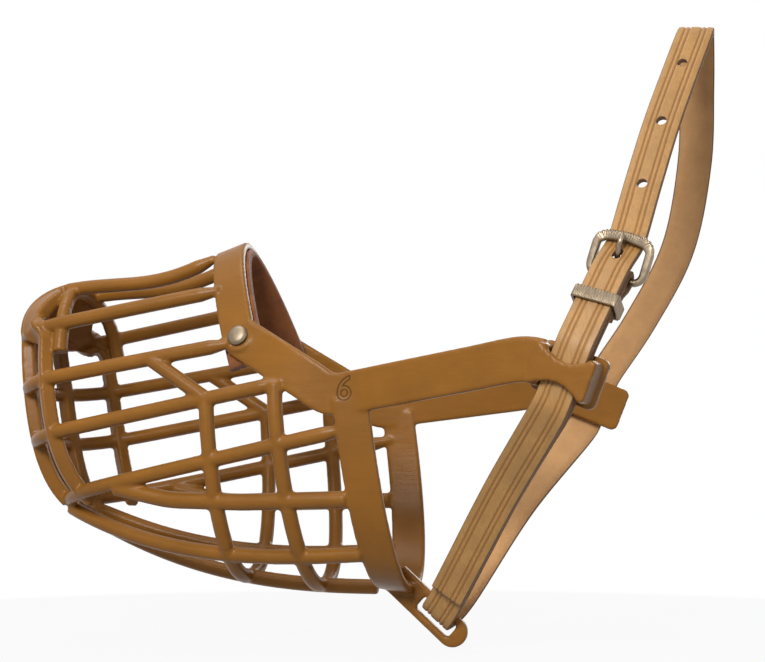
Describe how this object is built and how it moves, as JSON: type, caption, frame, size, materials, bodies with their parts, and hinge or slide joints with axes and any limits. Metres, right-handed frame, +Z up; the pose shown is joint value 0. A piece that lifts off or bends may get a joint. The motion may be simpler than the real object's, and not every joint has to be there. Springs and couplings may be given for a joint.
{
  "type": "basket muzzle",
  "caption": "Barred basket that encloses a dog's snout, with a padded nose band, side arms and a buckled neck strap threaded through the arms and a chin loop.",
  "frame": {"origin": "centre of the rear opening, on the level of the basket's greatest width", "axes": "+X rearwards, out of the opening towards the dog's neck; +Y towards the dog's right; +Z up"},
  "size_m": [0.2543, 0.1238, 0.2109],
  "materials": {
    "basket_plastic": "satin ochre moulding",
    "strap_leather": "natural tan, smooth side out",
    "pad_leather": "reddish brown suede",
    "hardware": "old nickel plate"
  },
  "bodies": {
    "muzzle": {"front_grille": "basket_plastic", "top_bars": "basket_plastic", "left_side_bars": "basket_plastic", "right_side_bars": "basket_plastic", "bottom_bars": "basket_plastic", "nose_band": "basket_plastic", "left_arm": "basket_plastic", "right_arm": "basket_plastic", "rear_rim": "basket_plastic", "chin_loop": "basket_plastic", "nose_pad": "pad_leather", "left_rivet_cap": "hardware", "left_rivet_post": "hardware", "right_rivet_cap": "hardware", "right_rivet_post": "hardware", "strap_under": "strap_leather", "strap_far": "strap_leather", "strap_tail": "strap_leather"},
    "buckle": {"buckle_frame": "hardware"},
    "prong": {"buckle_prong": "hardware"},
    "keeper": {"keeper": "hardware"}
  },
  "joints": [
    {"name": "buckle_hinge", "type": "hinge", "parent": "muzzle", "child": "buckle", "pos_m": [0.07995, -0.04332, 0.03581], "axis": [0.9183, -0.2209, -0.3285], "range_deg": [0, 6]},
    {"name": "prong_hinge", "type": "hinge", "parent": "buckle", "child": "prong", "pos_m": [0.07995, -0.04332, 0.03581], "axis": [0.9183, -0.2209, -0.3285], "range_deg": [0, 4]},
    {"name": "keeper_slide", "type": "slide", "parent": "muzzle", "child": "keeper", "axis": [0.3842, 0.2976, 0.874], "range_m": [-0.006, 0.0015]}
  ]
}
